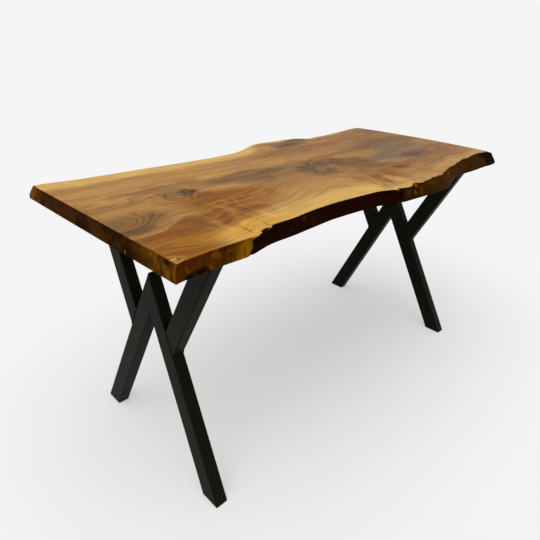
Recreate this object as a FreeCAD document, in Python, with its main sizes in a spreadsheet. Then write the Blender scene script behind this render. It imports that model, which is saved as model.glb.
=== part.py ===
# Dining table with a live-edge walnut slab on two welded steel leg frames.
# Millimetres. +X runs along the slab, +Y to its back edge, +Z up. The origin lies on the floor
# under the middle of the slab's box.
import FreeCAD, Part
import Sketcher
import math
import os

# Driving dimensions

DIMENSIONS = {
    # the slab
    "table_height": 750,
    "slab_length": 1530,
    "slab_width": 752,
    "slab_thickness": 45,
    "right_end_bow": 24,
    # how the two frames stand under it: end_overhang runs from a slab end to a frame's middle plane
    "end_overhang": 184,
    "frame_shift": -10,
    "foot_spread": 515,
    "leg_lean": 27.4,
    "strut_lean": 28.2,
    # rectangular steel tube
    "tube_width": 55,
    "tube_depth": 35,
    "tube_wall": 2,
    "tube_corner": 3,
    # flat steel plate welded across the strut tops; its slots lie in rows, slot_rows apart
    "plate_length": 600,
    "plate_width": 100,
    "plate_thickness": 6,
    "plate_corner": 10,
    "slot_width": 9,
    "slot_length": 20,
    "slot_rows": 64,
    "slot_pitch": 190,
    # hexagon bolt, large washer and threaded insert
    "bolt_diameter": 8,
    "bolt_length": 25,
    "bolt_head_width": 13,
    "bolt_head_height": 5.3,
    "washer_diameter": 24,
    "washer_bore": 8.4,
    "washer_thickness": 2,
    "insert_diameter": 13,
    "insert_length": 20,
    "insert_hole_depth": 24,
    "thread_clearance": 0.15,
    "insert_clearance": 0.2,
    # moulded plug in each foot
    "plug_flange": 3,
    "plug_depth": 22,
    "plug_clearance": 0.3,
}

SLOT_COUNT_PER_ROW = 3
SLOT_ROW_COUNT = 2
HEX_SIDES = 6
# An edge runs along a direction when at least this share of its length does.
ALONG_SHARE = 0.999

# The live edges, from the left end to the right one. Each station holds its place along the slab as
# a share of slab_length, the upper arris as a share of slab_width, and how far the bark side leans
# out below that arris as a share of slab_thickness.
FRONT_EDGE_SHARES = [
    (-0.484, -0.457, -0.10), (-0.454, -0.449, -0.03), (-0.395, -0.449, -0.03), (-0.350, -0.444, 0.00),
    (-0.329, -0.430, 0.05), (-0.308, -0.420, 0.11), (-0.264, -0.419, 0.13), (-0.218, -0.411, 0.17),
    (-0.170, -0.408, 0.11), (-0.110, -0.415, 0.08), (-0.063, -0.424, 0.08), (-0.031, -0.434, 0.10),
    (-0.007, -0.454, 0.08), (0.007, -0.462, 0.06), (0.048, -0.465, 0.20), (0.078, -0.468, 0.27),
    (0.124, -0.467, 0.45), (0.175, -0.459, 0.66), (0.231, -0.430, 0.60), (0.279, -0.410, 0.46),
    (0.320, -0.400, 0.50), (0.361, -0.390, 0.76), (0.408, -0.378, 1.00), (0.444, -0.376, 1.08),
    (0.467, -0.387, 0.92), (0.486, -0.398, 0.50),
]
BACK_EDGE_SHARES = [
    (-0.499, 0.409, 0.85), (-0.474, 0.411, 0.85), (-0.443, 0.399, 0.85), (-0.399, 0.390, 0.84),
    (-0.335, 0.384, 0.80), (-0.265, 0.378, 0.76), (-0.190, 0.367, 0.70), (-0.092, 0.368, 0.67),
    (-0.059, 0.374, 0.67), (-0.036, 0.387, 0.67), (-0.016, 0.403, 0.66), (0.007, 0.426, 0.62),
    (0.031, 0.452, 0.57), (0.064, 0.469, 0.51), (0.092, 0.463, 0.53), (0.148, 0.456, 0.53),
    (0.183, 0.448, 0.53), (0.204, 0.426, 0.62), (0.216, 0.406, 0.66), (0.251, 0.406, 0.62),
    (0.287, 0.408, 0.58), (0.329, 0.419, 0.58), (0.372, 0.428, 0.58), (0.422, 0.445, 0.58),
    (0.455, 0.453, 0.58), (0.482, 0.447, 0.53),
]
# Levels of the slab's section: height over its underside as a share of the thickness, and the share
# of the lean that the bark side has reached there.
LEVEL_SHARES = [(0.0, 0.86), (0.16, 1.0), (0.55, 0.62), (1.0, 0.0)]

doc = FreeCAD.newDocument("dining_table")
sheet = doc.addObject("Spreadsheet::Sheet", "sheet")
for row, (alias, value) in enumerate(DIMENSIONS.items(), start=1):
    sheet.set(f"A{row}", alias)
    sheet.set(f"B{row}", str(value))
    sheet.setAlias(f"B{row}", alias)
doc.recompute()


def size(name):
    """Value of a driving dimension."""
    return float(getattr(sheet, name))


def worked_out(expression):
    """Number that an expression on the sheet's cells gives."""
    result = sheet.evalExpression(expression)
    return float(getattr(result, "Value", result))


# Lines of the leg frame, as expressions. Seen along X, each frame is symmetric about its middle
# plane, so everything is given for the back half, with y measured outwards from that plane.

LEG_TAN = "tan(sheet.leg_lean * 1 deg)"
LEG_HALF = "(sheet.tube_width / 2 / cos(sheet.leg_lean * 1 deg))"
LEG_WALL = "(sheet.tube_wall / cos(sheet.leg_lean * 1 deg))"
STRUT_TAN = "tan(sheet.strut_lean * 1 deg)"
STRUT_HALF = "(sheet.tube_width / 2 / cos(sheet.strut_lean * 1 deg))"
STRUT_WALL = "(sheet.tube_wall / cos(sheet.strut_lean * 1 deg))"
FOOT_MIDDLE = "(sheet.foot_spread / 2)"
SLAB_UNDERSIDE = "(sheet.table_height - sheet.slab_thickness)"
PLATE_UNDERSIDE = f"({SLAB_UNDERSIDE} - sheet.plate_thickness)"
PLUG_WALL = "(sheet.tube_wall + sheet.plug_clearance)"


def leg_line(offset, level):
    """Outward y of a line along the leg, offset from its middle line, at a level."""
    return f"({FOOT_MIDDLE} + {offset} - {level} * {LEG_TAN})"


def strut_line(offset, level):
    """Outward y of a line along the strut, offset from its middle line, at a level."""
    return f"({FOOT_MIDDLE} + {offset} - ({PLATE_UNDERSIDE} - {level}) * {STRUT_TAN})"


def leg_top_level(offset):
    """Level where a line along the leg reaches the mitre on the frame's middle plane."""
    return f"(({FOOT_MIDDLE} + {offset}) / {LEG_TAN})"


def landing_level(offset):
    """Level where a line along the strut lands on the upper face of the leg."""
    return f"(({LEG_HALF} - {offset} + {PLATE_UNDERSIDE} * {STRUT_TAN}) / ({LEG_TAN} + {STRUT_TAN}))"


def leg_outline(offset_in, offset_out, foot_level):
    """Side view of a leg between two lines, from the foot up to the mitre."""
    return [
        (leg_line(offset_in, foot_level), foot_level),
        (leg_line(offset_out, foot_level), foot_level),
        ("0", leg_top_level(offset_out)),
        ("0", leg_top_level(offset_in)),
    ]


def strut_outline(offset_in, offset_out):
    """Side view of a strut between two lines, from the leg's upper face up to the plate."""
    low_in = landing_level(offset_in)
    low_out = landing_level(offset_out)
    return [
        (strut_line(offset_out, low_out), low_out),
        (strut_line(offset_out, PLATE_UNDERSIDE), PLATE_UNDERSIDE),
        (strut_line(offset_in, PLATE_UNDERSIDE), PLATE_UNDERSIDE),
        (strut_line(offset_in, low_in), low_in),
    ]


# Sketch and feature helpers


def new_body(label):
    """Empty body that carries the name of its sub-part."""
    body = doc.addObject("PartDesign::Body", label)
    body.Label = label
    return body


def origin_feature(body, role):
    """Origin plane or axis of a body, found by its role."""
    return next(item for item in body.Origin.OriginFeatures if item.Role == role)


def new_sketch(body, name, role):
    """Sketch on one of the body's origin planes."""
    sketch = body.newObject("Sketcher::SketchObject", name)
    sketch.AttachmentSupport = (origin_feature(body, role), [""])
    sketch.MapMode = "FlatFace"
    return sketch


def bind_point(sketch, edge, point, across, up):
    """Ties a point of the sketch to two expressions; a zero puts it on that axis."""
    for kind, expression, axis in (("DistanceX", across, -2), ("DistanceY", up, -1)):
        if expression == "0":
            sketch.addConstraint(Sketcher.Constraint("PointOnObject", edge, point, axis))
            continue
        value = worked_out(expression)
        index = sketch.addConstraint(Sketcher.Constraint(kind, -1, 1, edge, point, value))
        sketch.setExpression(f"Constraints[{index}]", expression)


def polygon_sketch(body, name, role, corners):
    """Closed polygon whose corners are pairs of expressions."""
    sketch = new_sketch(body, name, role)
    places = [FreeCAD.Vector(worked_out(across), worked_out(up), 0) for across, up in corners]
    count = len(corners)
    for index in range(count):
        sketch.addGeometry(Part.LineSegment(places[index], places[(index + 1) % count]))
    for index in range(count):
        sketch.addConstraint(Sketcher.Constraint("Coincident", index, 2, (index + 1) % count, 1))
    for index, (across, up) in enumerate(corners):
        bind_point(sketch, index, 1, across, up)
    return sketch


def circle_sketch(body, name, middle, diameters):
    """Concentric circles on the body's XY plane."""
    sketch = new_sketch(body, name, "XY_Plane")
    centre = FreeCAD.Vector(worked_out(middle[0]), worked_out(middle[1]), 0)
    for edge, diameter in enumerate(diameters):
        sketch.addGeometry(Part.Circle(centre, FreeCAD.Vector(0, 0, 1), worked_out(diameter) / 2))
        bind_point(sketch, edge, 3, *middle)
        index = sketch.addConstraint(Sketcher.Constraint("Diameter", edge, worked_out(diameter)))
        sketch.setExpression(f"Constraints[{index}]", diameter)
    return sketch


def add_pad(body, name, sketch, length, side="One side", reverse=False):
    """Pad of a sketch by a length given as an expression."""
    pad = body.newObject("PartDesign::Pad", name)
    pad.Profile = sketch
    pad.SideType = side
    pad.Reversed = reverse
    pad.setExpression("Length", length)
    sketch.Visibility = False
    doc.recompute()
    return pad


def add_pocket(body, name, sketch, length, side="One side", reverse=False):
    """Pocket that must take material away from the body."""
    before = body.Shape.Volume
    pocket = body.newObject("PartDesign::Pocket", name)
    pocket.Profile = sketch
    pocket.SideType = side
    pocket.Reversed = reverse
    pocket.setExpression("Length", length)
    doc.recompute()
    if body.Shape.Volume >= before:
        raise RuntimeError(f"{name} cuts nothing")
    return pocket


def add_fillet(body, name, base, directions, radius):
    """Fillet of every straight edge of the base that runs along one of the directions."""
    names = []
    for index, edge in enumerate(base.Shape.Edges, start=1):
        run = (edge.Vertexes[-1].Point - edge.Vertexes[0].Point).normalize()
        if any(abs(run.dot(direction)) > ALONG_SHARE for direction in directions):
            names.append(f"Edge{index}")
    fillet = body.newObject("PartDesign::Fillet", name)
    fillet.Base = (base, names)
    fillet.setExpression("Radius", radius)
    doc.recompute()
    return fillet


def add_grid(body, name, originals):
    """Repeats features over the plate's slots: along the plate and in its two rows."""
    grid = body.newObject("PartDesign::MultiTransform", name)
    grid.Originals = originals
    along = doc.addObject("PartDesign::LinearPattern", name + "_along")
    along.Direction = (origin_feature(body, "Y_Axis"), [""])
    along.setExpression("Length", f"sheet.slot_pitch * {SLOT_COUNT_PER_ROW - 1}")
    along.Occurrences = SLOT_COUNT_PER_ROW
    across = doc.addObject("PartDesign::LinearPattern", name + "_across")
    across.Direction = (origin_feature(body, "X_Axis"), [""])
    across.setExpression("Length", f"sheet.slot_rows * {SLOT_ROW_COUNT - 1}")
    across.Occurrences = SLOT_ROW_COUNT
    grid.Transformations = [along, across]
    body.Tip = grid
    doc.recompute()
    return grid


FIRST_SLOT = (
    f"(-sheet.slot_rows * {SLOT_ROW_COUNT - 1} / 2)",
    f"(-sheet.slot_pitch * {SLOT_COUNT_PER_ROW - 1} / 2)",
)


def frame_place(side):
    """X of a frame's middle plane, as an expression; side is -1 for left and 1 for right."""
    return f"{side} * (sheet.slab_length / 2 - sheet.end_overhang) + sheet.frame_shift"


def seat(item, side, level="0", half=1):
    """Puts a sub-part at a frame's middle plane; half is 1 for its back half and -1 for its front."""
    turn = 0 if half > 0 else 180
    rotation = FreeCAD.Rotation(FreeCAD.Vector(0, 0, 1), turn)
    item.Placement = FreeCAD.Placement(FreeCAD.Vector(0, 0, 0), rotation)
    item.setExpression(".Placement.Base.x", frame_place(side))
    item.setExpression(".Placement.Base.z", level)
    doc.recompute()
    return item


# The slab


def edge_points(stations, outward, lean, height):
    """Points of a live edge at one level of the slab."""
    length = size("slab_length")
    width = size("slab_width")
    thickness = size("slab_thickness")
    points = []
    for along_share, across_share, lean_share in stations:
        reach = outward * lean * lean_share * thickness
        points.append(FreeCAD.Vector(along_share * length, across_share * width + reach, height))
    return points


def slide_to_end(points, place, arris_point):
    """Moves an end point of an edge along x so that it stays in the plane of the end's saw cut."""
    front = FRONT_EDGE_SHARES[place]
    back = BACK_EDGE_SHARES[place]
    run = (back[0] - front[0]) * size("slab_length")
    rise = (back[1] - front[1]) * size("slab_width")
    points[place].x += (points[place].y - arris_point.y) * run / rise


def slab_wire(level_share, lean):
    """Outline of the slab at one level: two live edges, a straight left end, a bowed right end."""
    height = size("table_height") - (1 - level_share) * size("slab_thickness")
    front = edge_points(FRONT_EDGE_SHARES, -1, lean, height)
    back = edge_points(BACK_EDGE_SHARES, 1, lean, height)
    for points, stations, outward in ((front, FRONT_EDGE_SHARES, -1), (back, BACK_EDGE_SHARES, 1)):
        arris = edge_points(stations, outward, 0, height)
        slide_to_end(points, 0, arris[0])
        slide_to_end(points, -1, arris[-1])
    middle = (front[-1] + back[-1]) * 0.5
    middle.x += size("right_end_bow")
    edges = []
    for points in (front, list(reversed(back))):
        curve = Part.BSplineCurve()
        curve.interpolate(points)
        edges.append(curve.toShape())
    right_end = Part.Arc(front[-1], middle, back[-1]).toShape()
    left_end = Part.LineSegment(back[0], front[0]).toShape()
    return Part.Wire([edges[0], right_end, edges[1], left_end])


def slab_blank():
    """The slab before its holes are drilled."""
    blank = doc.addObject("Part::Feature", "slab_blank")
    wires = [slab_wire(level_share, lean) for level_share, lean in LEVEL_SHARES]
    blank.Shape = Part.makeLoft(wires, True, True)
    blank.Placement = FreeCAD.Placement()
    return blank


def insert_holes(side):
    """Blind holes in the slab's underside for one frame's threaded inserts."""
    holes = new_body(f"insert_holes_{SIDE_NAMES[side]}")
    diameter = "(sheet.insert_diameter + 2 * sheet.insert_clearance)"
    sketch = circle_sketch(holes, holes.Label + "_sketch", FIRST_SLOT, [diameter])
    pad = add_pad(holes, holes.Label + "_pad", sketch, "sheet.insert_hole_depth")
    add_grid(holes, holes.Label + "_grid", [pad])
    return seat(holes, side, SLAB_UNDERSIDE)


def tabletop_slab():
    """Live-edge slab with its insert holes."""
    cutters = doc.addObject("Part::Compound", "insert_hole_cutters")
    cutters.Links = [insert_holes(side) for side in SIDE_NAMES]
    slab = doc.addObject("Part::Cut", "tabletop_slab")
    slab.Label = "tabletop_slab"
    slab.Base = slab_blank()
    slab.Tool = cutters
    slab.Placement = FreeCAD.Placement()
    doc.recompute()
    return slab


# The leg frames


def tube(label, outer, inner, lean):
    """Rectangular tube in side view: padded outline, rounded long edges, hollow along its length."""
    body = new_body(label)
    outline = polygon_sketch(body, label + "_outline", "YZ_Plane", outer)
    pad = add_pad(body, label + "_pad", outline, "sheet.tube_depth", "Symmetric")
    angle = math.radians(lean)
    run = FreeCAD.Vector(0, math.sin(angle), math.cos(angle))
    add_fillet(body, label + "_corners", pad, [run], "sheet.tube_corner")
    hollow = polygon_sketch(body, label + "_hollow", "YZ_Plane", inner)
    depth = "sheet.tube_depth - 2 * sheet.tube_wall"
    add_pocket(body, label + "_bore", hollow, depth, "Symmetric")
    return body


def leg(label):
    """Leaning leg: cut level over its foot plug and mitred against the other leg at the top."""
    outer = leg_outline(f"-{LEG_HALF}", LEG_HALF, "sheet.plug_flange")
    inner = leg_outline(f"({LEG_WALL} - {LEG_HALF})", f"({LEG_HALF} - {LEG_WALL})", "sheet.plug_flange")
    return tube(label, outer, inner, -size("leg_lean"))


def strut(label):
    """Strut from the leg's upper face out to the plate under the slab."""
    outer = strut_outline(f"-{STRUT_HALF}", STRUT_HALF)
    inner = strut_outline(f"({STRUT_WALL} - {STRUT_HALF})", f"({STRUT_HALF} - {STRUT_WALL})")
    return tube(label, outer, inner, size("strut_lean"))


def foot_plug(label):
    """Moulded plug: a flange under the cut end of the leg and a stem up inside the tube."""
    body = new_body(label)
    foot = "sheet.plug_flange"
    corners = [
        ("(-sheet.tube_depth / 2)", leg_line(f"-{LEG_HALF}", foot)),
        ("(sheet.tube_depth / 2)", leg_line(f"-{LEG_HALF}", foot)),
        ("(sheet.tube_depth / 2)", leg_line(LEG_HALF, foot)),
        ("(-sheet.tube_depth / 2)", leg_line(LEG_HALF, foot)),
    ]
    outline = polygon_sketch(body, label + "_outline", "XY_Plane", corners)
    flange = add_pad(body, label + "_flange", outline, foot)
    add_fillet(body, label + "_corners", flange, [FreeCAD.Vector(0, 0, 1)], "sheet.tube_corner")
    gap = f"({PLUG_WALL} / cos(sheet.leg_lean * 1 deg))"
    top = "(sheet.plug_flange + sheet.plug_depth)"
    stem_sides = [
        (leg_line(f"({gap} - {LEG_HALF})", foot), foot),
        (leg_line(f"({LEG_HALF} - {gap})", foot), foot),
        (leg_line(f"({LEG_HALF} - {gap})", top), top),
        (leg_line(f"({gap} - {LEG_HALF})", top), top),
    ]
    side_view = polygon_sketch(body, label + "_stem_side", "YZ_Plane", stem_sides)
    add_pad(body, label + "_stem", side_view, f"sheet.tube_depth - 2 * {PLUG_WALL}", "Symmetric")
    return body


def mounting_plate(label):
    """Flat plate on the strut tops, with slots across the grain for the bolts."""
    body = new_body(label)
    half_width = "(sheet.plate_width / 2)"
    half_length = "(sheet.plate_length / 2)"
    corners = [
        (f"(-{half_width})", f"(-{half_length})"),
        (half_width, f"(-{half_length})"),
        (half_width, half_length),
        (f"(-{half_width})", half_length),
    ]
    outline = polygon_sketch(body, label + "_outline", "XY_Plane", corners)
    pad = add_pad(body, label + "_pad", outline, "sheet.plate_thickness")
    add_fillet(body, label + "_corners", pad, [FreeCAD.Vector(0, 0, 1)], "sheet.plate_corner")
    pocket = add_pocket(body, label + "_slot", slot_sketch(body), "sheet.plate_thickness", reverse=True)
    add_grid(body, label + "_slots", [pocket])
    return body


def slot_sketch(body):
    """Round-ended slot that runs across the slab's grain, at the grid's first place."""
    sketch = new_sketch(body, body.Label + "_slot_sketch", "XY_Plane")
    across, along = FIRST_SLOT
    reach = "((sheet.slot_length - sheet.slot_width) / 2)"
    radius = worked_out("sheet.slot_width / 2")
    x = worked_out(across)
    low = worked_out(f"{along} - {reach}")
    high = worked_out(f"{along} + {reach}")
    up = FreeCAD.Vector(0, 0, 1)
    low_circle = Part.Circle(FreeCAD.Vector(x, low, 0), up, radius)
    high_circle = Part.Circle(FreeCAD.Vector(x, high, 0), up, radius)
    sketch.addGeometry(Part.ArcOfCircle(low_circle, math.pi, 2 * math.pi))
    sketch.addGeometry(Part.ArcOfCircle(high_circle, 0, math.pi))
    for start, end, at in ((low, high, x + radius), (high, low, x - radius)):
        side = Part.LineSegment(FreeCAD.Vector(at, start, 0), FreeCAD.Vector(at, end, 0))
        sketch.addGeometry(side)
    for first, first_point, second, second_point in ((0, 2, 2, 1), (2, 2, 1, 1), (1, 2, 3, 1), (3, 2, 0, 1)):
        joined = Sketcher.Constraint("Tangent", first, first_point, second, second_point)
        sketch.addConstraint(joined)
    bind_point(sketch, 0, 3, across, f"({along} - {reach})")
    bind_point(sketch, 1, 3, across, f"({along} + {reach})")
    index = sketch.addConstraint(Sketcher.Constraint("Radius", 0, radius))
    sketch.setExpression(f"Constraints[{index}]", "sheet.slot_width / 2")
    return sketch


# Fasteners: one node per frame and kind, each a grid of separate solids


def bolts(label):
    """Hexagon bolts: the head hangs below the washer and the shank runs up into the insert."""
    body = new_body(label)
    radius = f"(sheet.bolt_head_width / 2 / cos({180 / HEX_SIDES} deg))"
    corners = []
    for index in range(HEX_SIDES):
        turn = f"{360 / HEX_SIDES * (index + 0.5)} deg"
        corners.append((
            f"({FIRST_SLOT[0]} + {radius} * cos({turn}))",
            f"({FIRST_SLOT[1]} + {radius} * sin({turn}))",
        ))
    hexagon = polygon_sketch(body, label + "_hexagon", "XY_Plane", corners)
    head = add_pad(body, label + "_head", hexagon, "sheet.bolt_head_height", reverse=True)
    circle = circle_sketch(body, label + "_circle", FIRST_SLOT, ["sheet.bolt_diameter"])
    shank = add_pad(body, label + "_shank", circle, "sheet.bolt_length")
    add_grid(body, label + "_grid", [head, shank])
    return body


def rings(label, outer, bore, height):
    """Grid of plain rings."""
    body = new_body(label)
    sketch = circle_sketch(body, label + "_circles", FIRST_SLOT, [outer, bore])
    pad = add_pad(body, label + "_pad", sketch, height)
    add_grid(body, label + "_grid", [pad])
    return body


# Assembly

SIDE_NAMES = {-1: "left", 1: "right"}
HALF_NAMES = {1: "back", -1: "front"}


def leg_frame(side):
    """All pieces of one frame, in their places."""
    frame = SIDE_NAMES[side]
    pieces = []
    for half, half_name in HALF_NAMES.items():
        pieces.append(seat(leg(f"{frame}_{half_name}_leg"), side, half=half))
        pieces.append(seat(strut(f"{frame}_{half_name}_strut"), side, half=half))
        pieces.append(seat(foot_plug(f"{frame}_{half_name}_foot_plug"), side, half=half))
    pieces.append(seat(mounting_plate(f"{frame}_mounting_plate"), side, PLATE_UNDERSIDE))
    washer_level = f"{PLATE_UNDERSIDE} - sheet.washer_thickness"
    washers = rings(f"{frame}_washers", "sheet.washer_diameter", "sheet.washer_bore",
                    "sheet.washer_thickness")
    pieces.append(seat(washers, side, washer_level))
    pieces.append(seat(bolts(f"{frame}_bolts"), side, washer_level))
    thread = "(sheet.bolt_diameter + 2 * sheet.thread_clearance)"
    inserts = rings(f"{frame}_threaded_inserts", "sheet.insert_diameter", thread, "sheet.insert_length")
    pieces.append(seat(inserts, side, SLAB_UNDERSIDE))
    return pieces


parts = [tabletop_slab()]
for frame_side in SIDE_NAMES:
    parts += leg_frame(frame_side)
doc.recompute()

for item in doc.Objects:
    if "Invalid" in item.State or "Error" in item.State:
        raise RuntimeError(f"{item.Name} failed: {item.State}")
for item in parts:
    if item.Shape.isNull() or not item.Shape.isValid() or not item.Shape.Solids:
        raise RuntimeError(f"{item.Label} has no valid solid")

os.makedirs("parts", exist_ok=True)
for item in parts:
    item.Shape.exportStep(f"parts/{item.Label}.step")
    print(item.Label, len(item.Shape.Solids), "solids", round(item.Shape.Volume), "mm3")
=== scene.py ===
# Looks of a live-edge walnut dining table on two welded steel leg frames.
# Metres. +X runs along the slab, +Y to its back edge, +Z up.
import math
from contextlib import contextmanager
from functools import cached_property

import bmesh
import bpy
import numpy as np
from mathutils import Matrix, Vector


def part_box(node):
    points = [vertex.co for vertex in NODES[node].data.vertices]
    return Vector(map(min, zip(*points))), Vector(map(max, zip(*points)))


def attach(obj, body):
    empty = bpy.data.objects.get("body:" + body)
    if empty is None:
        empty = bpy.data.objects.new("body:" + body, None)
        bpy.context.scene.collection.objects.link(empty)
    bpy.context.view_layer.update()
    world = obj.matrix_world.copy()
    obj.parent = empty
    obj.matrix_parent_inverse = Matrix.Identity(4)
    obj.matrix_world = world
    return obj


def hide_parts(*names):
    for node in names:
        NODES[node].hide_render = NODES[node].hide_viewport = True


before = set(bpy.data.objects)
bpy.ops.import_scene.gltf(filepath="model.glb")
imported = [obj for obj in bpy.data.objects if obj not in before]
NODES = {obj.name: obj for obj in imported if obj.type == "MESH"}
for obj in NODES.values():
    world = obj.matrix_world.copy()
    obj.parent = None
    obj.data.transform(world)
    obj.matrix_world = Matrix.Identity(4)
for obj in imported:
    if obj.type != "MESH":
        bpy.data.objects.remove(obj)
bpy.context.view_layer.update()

bl_info = {
    "name": "Live-edge dining table",
    "version": (1, 0, 0),
    "blender": (4, 5, 0),
    "location": "View3D > Sidebar > Table",
    "description": "Walnut slab, leg frames, fasteners and stage of a dining table",
    "category": "Add Mesh",
}

MM = 0.001
SIDES = ("left", "right")
HALVES = ("back", "front")

# The photograph's camera, in pixels of its 540 x 540 frame and in metres
PHOTO_SIDE = 540
FOCAL_PIXELS = 488.83
CENTRE_PIXELS = (279.13, 191.30)
CAMERA_PLACE = (-1.1919, -1.0417, 1.1543)
CAMERA_RIGHT = (0.70793, -0.70544, 0.03440)
CAMERA_DOWN = (-0.18950, -0.23664, -0.95294)
CAMERA_AHEAD = (0.68038, 0.66810, -0.30121)
SENSOR_WIDTH = 36


def colour(code):
    """Linear RGBA of an sRGB hex value."""
    shades = [int(code[start:start + 2], 16) / 255 for start in (0, 2, 4)]
    linear = [s / 12.92 if s <= 0.04045 else ((s + 0.055) / 1.055) ** 2.4 for s in shades]
    return (*linear, 1.0)


def number(name, description, default, **settings):
    """Property for a number."""
    return bpy.props.FloatProperty(name=name, description=description, default=default, **settings)


def length(name, description, default):
    """Property for a length in metres."""
    return number(name, description, default, min=0, unit="LENGTH", precision=4)


def fraction(name, description, default):
    """Property for a share of a whole."""
    return number(name, description, default, min=0, max=1, subtype="FACTOR")


def angle(name, description, degrees):
    """Property for an angle, given in degrees."""
    return number(name, description, math.radians(degrees), subtype="ANGLE")


def tint(name, description, code):
    """Property for a colour, given as an sRGB hex value."""
    return bpy.props.FloatVectorProperty(
        name=name, description=description, default=colour(code), size=4, subtype="COLOR", min=0, max=1
    )


class SlabSizes(bpy.types.PropertyGroup):
    """Sizes of the slab's finish"""
    arris: length("Arris", "Radius that sanding left on the slab's arrises", 2.0 * MM)
    swell: length("Swell", "Depth of the bark side's long hollows", 5.0 * MM)
    ridge: length("Ridge", "Depth of the bark side's ridges", 2.4 * MM)
    ripple: length("Ripple", "Depth of the bark side's fine ripple", 0.8 * MM)
    ring: length("Ring", "Width of a broad growth ring on the face", 24 * MM)
    # Real fibre lines are a third as wide; at the photograph's size they would not show.
    fibre: length("Fibre", "Width of a fibre line on the face", 8 * MM)


class WoodColours(bpy.types.PropertyGroup):
    """Colours of the varnished walnut"""
    heart_light: tint("Light heartwood", "Heartwood between the rings", "C59452")
    heart_brown: tint("Brown heartwood", "Heartwood in the darker rings", "8E612E")
    # Honey, red heartwood, smoky heartwood and ink also make up a painted tray shadow beside the eye knot.
    honey: tint("Honey heartwood", "Golden strands in the warm patches", "B67A1A")
    heart_red: tint("Red heartwood", "Warm patches beside the sapwood", "84480A")
    smoke: tint("Smoky heartwood", "Grey-brown figure round knots", "6C4E2C")
    grey: tint("Grey heartwood", "Greyish wood of the right half", "74624F")
    ink: tint("Ink", "Darkest streaks in the grey-brown figure", "463828")
    sapwood: tint("Sapwood", "Golden band along both live edges", "E0B463")
    sap_gold: tint("Golden sapwood", "Deeper gold near the left front corner", "DBA33A")
    flame: tint("Flame", "Golden line below the crotch figure", "C4934E")
    ring_shade: tint("Ring shade", "What rings and dark streaks let through", "A2866C")
    curl_light: tint("Curl light", "Light that the crests of the curls add", "CEAE7C")
    end_grain: tint("End grain", "Sawn left and right ends", "4E2A02")
    end_shade: tint("End shade", "Darker patches and knots in the ends", "261402")
    end_gold: tint("End gold", "Sapwood in the sawn ends", "865208")
    end_scar: tint("End scar", "Pale scars in the left end", "A08A5A")
    end_streak: tint("End streak", "What the fine streaks in the ends let through", "957C62")
    bark_side: tint("Bark side", "Dark surface under the bark", "260B01")
    # Bark shade is also the painted shade in the clefts between the knee's lobes.
    bark_shade: tint("Bark shade", "Darkest flakes of the bark side", "150903")
    bark_olive: tint("Bark side olive", "Bark side of the right half", "482A06")
    # Bark rust is also the painted light on the bulging lobes of the knee.
    bark_rust_and_lobe_light: tint("Bark rust", "Reddish scales on the bark side", "6E3A12")
    bark_brown: tint("Bark side brown", "Shaved live edge at the left end", "683604")
    bark_gold: tint("Bark side gold", "Bare sapwood on the live edges", "AC7008")


class SteelColours(bpy.types.PropertyGroup):
    """Colours of the metal and plastic pieces"""
    powder: tint("Powder coat", "Satin black powder coat", "14140D")
    powder_cloud: tint("Powder coat cloud", "Slightly paler clouds in the powder coat", "1B1B13")
    zinc: tint("Zinc", "Zinc plating of the bolts and washers", "A9ACB0")
    brass: tint("Brass", "Threaded inserts", "B58A45")
    plug: tint("Plug", "Polyethylene foot plugs", "151515")
    plug_grain: tint("Plug grain", "Crests of the grain on the foot plugs", "1B1B1B")


class FrameSizes(bpy.types.PropertyGroup):
    """Sizes of the leg frames' and fasteners' details"""
    weld: length("Weld", "Radius of the weld beads", 1.8 * MM)
    head_width: length("Bolt head", "Width of the hexagon heads across their flats", 13 * MM)
    head_height: length("Bolt head height", "Height of the hexagon heads", 5.3 * MM)
    head_chamfer: length("Bolt chamfer", "Chamfer round the hexagon heads", 1.0 * MM)
    shank: length("Bolt shank", "Diameter of the bolts", 8 * MM)
    washer: length("Washer", "Diameter of the washers", 24 * MM)
    insert_hole: length("Insert hole", "Diameter of the holes for the threaded inserts", 13.4 * MM)
    insert_room: length("Insert room", "Room over the threaded inserts", 4 * MM)


class StageSettings(bpy.types.PropertyGroup):
    """Floor, light and background"""
    backdrop: tint("Backdrop", "Floor and background", "F5F5F5")
    glow: fraction("Glow", "Share of the floor's brightness that no shadow takes", 0.48)
    reach: length("Floor", "Side of the floor", 80.0)
    dome: fraction("Dome", "Share of the light that comes from all round", 0.36)
    lamp_turn: angle("Lamp turn", "Bearing that the lamp shines from", 200)
    lamp_drop: angle("Lamp drop", "Lamp's angle from the vertical", 15)
    lamp_spread: angle("Lamp spread", "Apparent width of the lamp", 70)


# Mesh helpers


def work_on(*pieces):
    """Leaves edit mode, selects just these pieces and makes the first one active."""
    if bpy.context.object and bpy.context.object.mode != "OBJECT":
        bpy.ops.object.mode_set(mode="OBJECT")
    bpy.ops.object.select_all(action="DESELECT")
    for piece in pieces:
        piece.select_set(True)
    if pieces:
        bpy.context.view_layer.objects.active = pieces[0]


@contextmanager
def edit_mode(piece):
    """Edit mode on one piece, with all of it selected."""
    work_on(piece)
    bpy.ops.object.mode_set(mode="EDIT")
    bpy.ops.mesh.select_all(action="SELECT")
    yield
    bpy.ops.object.mode_set(mode="OBJECT")


def pick(piece, kind, test):
    """In edit mode, selects just the vertices, edges or faces that pass a test."""
    bpy.ops.mesh.select_mode(type={"verts": "VERT", "edges": "EDGE", "faces": "FACE"}[kind])
    bpy.ops.mesh.select_all(action="DESELECT")
    mesh = bmesh.from_edit_mesh(piece.data)
    mesh.normal_update()
    chosen = [item for item in getattr(mesh, kind) if test(item)]
    for item in chosen:
        item.select_set(True)
    mesh.select_flush_mode()
    bmesh.update_edit_mesh(piece.data)
    return len(chosen)


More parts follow.
